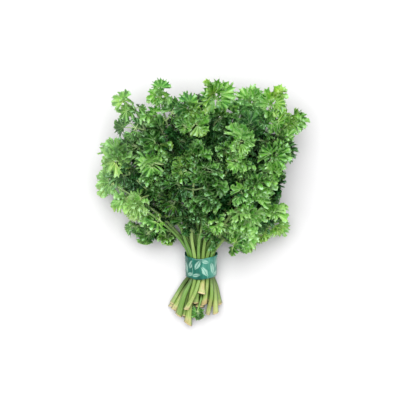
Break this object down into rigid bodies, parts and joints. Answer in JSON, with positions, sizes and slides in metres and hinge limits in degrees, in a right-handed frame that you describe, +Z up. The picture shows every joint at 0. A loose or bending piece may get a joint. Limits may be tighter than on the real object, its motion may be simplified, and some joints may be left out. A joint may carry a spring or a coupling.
{
  "type": "parsley bunch",
  "caption": "Cut bunch of curly parsley lying down, its leafy stems tied above their cut ends with a tape band.",
  "frame": {"origin": "middle of the bunch's outline, on the surface that it lies on", "axes": "+Y along the bunch from its cut ends to its leaves, +Z up from the surface, +X across the bunch"},
  "size_m": [0.2216, 0.2527, 0.1105],
  "materials": {
    "parsley": "fresh curly leaves, deep green in the crown and lighter at their edges, on pale green grooved stems",
    "tape": "thin glossy teal tape with pale abstract marks, creased where it wraps"
  },
  "bodies": {
    "root": {"base_leaf": "parsley", "leafy_stem_hanging_left": "parsley", "leafy_stem_hanging_near": "parsley", "leafy_stem_left": "parsley", "leafy_stem_left_front": "parsley", "leafy_stem_left_shoulder": "parsley", "leafy_stem_left_sprig": "parsley", "leafy_stem_low_middle_right": "parsley", "leafy_stem_low_right": "parsley", "leafy_stem_lower_left": "parsley", "leafy_stem_lower_middle": "parsley", "leafy_stem_lower_right": "parsley", "leafy_stem_middle": "parsley", "leafy_stem_middle_left": "parsley", "leafy_stem_middle_right": "parsley", "leafy_stem_right": "parsley", "leafy_stem_right_corner": "parsley", "leafy_stem_right_front": "parsley", "leafy_stem_right_shoulder": "parsley", "leafy_stem_top": "parsley", "leafy_stem_top_inner": "parsley", "leafy_stem_top_left": "parsley", "leafy_stem_top_middle": "parsley", "leafy_stem_top_right": "parsley", "leafy_stem_under_left": "parsley", "leafy_stem_under_near": "parsley", "leafy_stem_under_right": "parsley", "leafy_stem_under_top": "parsley", "tie_band": "tape"}
  },
  "joints": []
}
